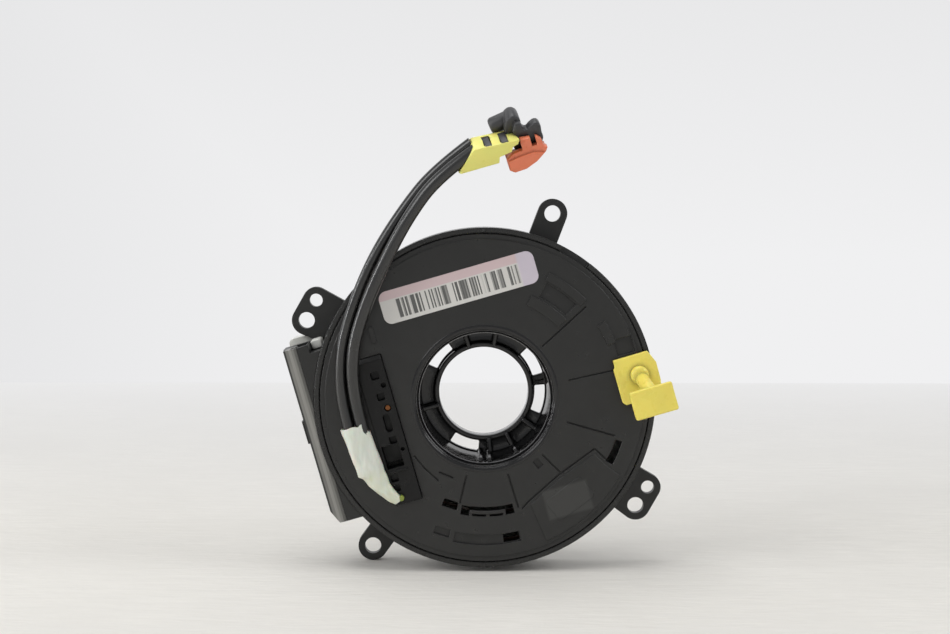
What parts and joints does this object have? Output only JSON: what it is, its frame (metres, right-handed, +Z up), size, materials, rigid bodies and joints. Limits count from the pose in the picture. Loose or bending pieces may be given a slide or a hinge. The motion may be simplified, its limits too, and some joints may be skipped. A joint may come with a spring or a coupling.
{
  "type": "steering clock spring",
  "caption": "Round steering column cable unit: a disc with a hub turns in a fixed case with ears; it has a side connector box, a free lead with a plug and a pull-out lock clip.",
  "frame": {"origin": "on the steering axis, in the plane of the four fixing ears' rear faces, inside the shaft bore", "axes": "+Z up as the unit stands on its rim and one ear; +Y along the steering axis away from the steering wheel; -Y is the side that faces the driver; +X to the right as the driver sees it"},
  "size_m": [0.1212, 0.046, 0.1455],
  "materials": {
    "housing_black": "fine satin moulded",
    "cover_grey": "satin",
    "connector_grey": "satin",
    "pin_metal": "bright",
    "film": "smooth film",
    "hub_gloss": "gloss",
    "ribbon": "smooth",
    "contact_copper": "bright",
    "label_paper": "satin film",
    "sleeve_white": "satin",
    "gland_green": "satin",
    "tube_black": "satin",
    "plug_yellow": "satin",
    "plug_black": "satin",
    "lock_orange": "satin",
    "clip_yellow": "satin"
  },
  "bodies": {
    "stator": {"rear_plate": "housing_black", "case_ring": "housing_black", "connector_box": "housing_black", "connector_cover": "cover_grey", "box_key": "connector_grey", "stator_connector": "connector_grey", "stator_pins": "pin_metal", "glide_sheet": "film"},
    "rotor": {"rotor_disc": "housing_black", "rotor_hub": "hub_gloss", "ribbon_cable": "ribbon", "switch_socket": "housing_black", "socket_pins": "contact_copper", "label": "label_paper", "upper_sleeve": "sleeve_white", "lower_sleeve": "sleeve_white", "lead_gland": "gland_green", "lead_thick": "tube_black", "lead_thin": "tube_black", "plug_housing": "plug_yellow", "plug_nose": "plug_black"},
    "transport_clip": {"lock_clip": "clip_yellow"},
    "plug_lock": {"plug_lock": "lock_orange"}
  },
  "joints": [
    {"name": "steering_turn", "type": "hinge", "parent": "stator", "child": "rotor", "pos_m": [0, 0, 0], "axis": [0, 1, 0], "range_deg": [-900, 900]},
    {"name": "clip_pull", "type": "slide", "parent": "rotor", "child": "transport_clip", "axis": [0, -1, 0], "range_m": [0, 0.012]},
    {"name": "plug_lock_slide", "type": "slide", "parent": "rotor", "child": "plug_lock", "axis": [0.9603, 0, 0.279], "range_m": [0, 0.003]}
  ]
}
